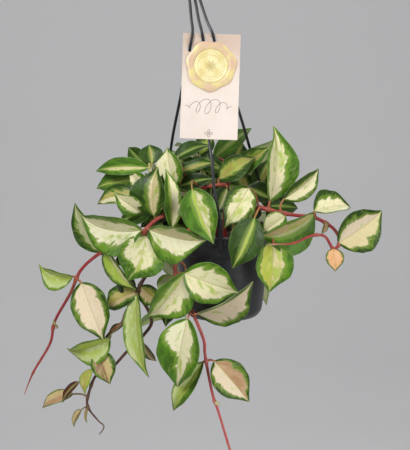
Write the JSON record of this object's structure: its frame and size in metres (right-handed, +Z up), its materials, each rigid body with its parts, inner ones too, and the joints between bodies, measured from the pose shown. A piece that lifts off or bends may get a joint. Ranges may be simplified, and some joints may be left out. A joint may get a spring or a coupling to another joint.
{
  "type": "potted tricolor wax plant",
  "caption": "Trailing wax plant with waxy cream, lime and green leaves on red stems, in a black round pot hung by three straps from a hook, with a card tag and a round seal",
  "frame": {"origin": "The point of the hook's inner top that bears on the rod or nail the plant hangs from", "axes": "+Z up, along the hanging height; +X to the right and +Y away, as seen from the front, where the tag faces"},
  "size_m": [0.4128, 0.2327, 0.612],
  "materials": {
    "foliage": "waxy leaves, cream and lime with green edges, on red stems",
    "pot": "satin black moulded plastic",
    "hanger": "satin black moulded plastic",
    "soil": "moist crumbly potting soil",
    "card": "matt card with a soft aged tint",
    "seal": "yellow gold seal with a raised ring"
  },
  "bodies": {
    "root": {"stem_upper_left": "foliage", "stem_left_trail": "foliage", "stem_low_left": "foliage", "stem_low_front": "foliage", "stem_centre_top": "foliage", "stem_right_trail": "foliage", "stem_centre_back": "foliage", "stem_right_top": "foliage", "stem_back_1": "foliage", "stem_back_2": "foliage", "stem_back_3": "foliage", "stem_back_4": "foliage", "pot": "pot", "soil": "soil", "hanger_hook": "hanger", "strap_left": "hanger", "strap_front": "hanger", "strap_right": "hanger", "tag_card": "card", "tag_seal": "seal"}
  },
  "joints": []
}
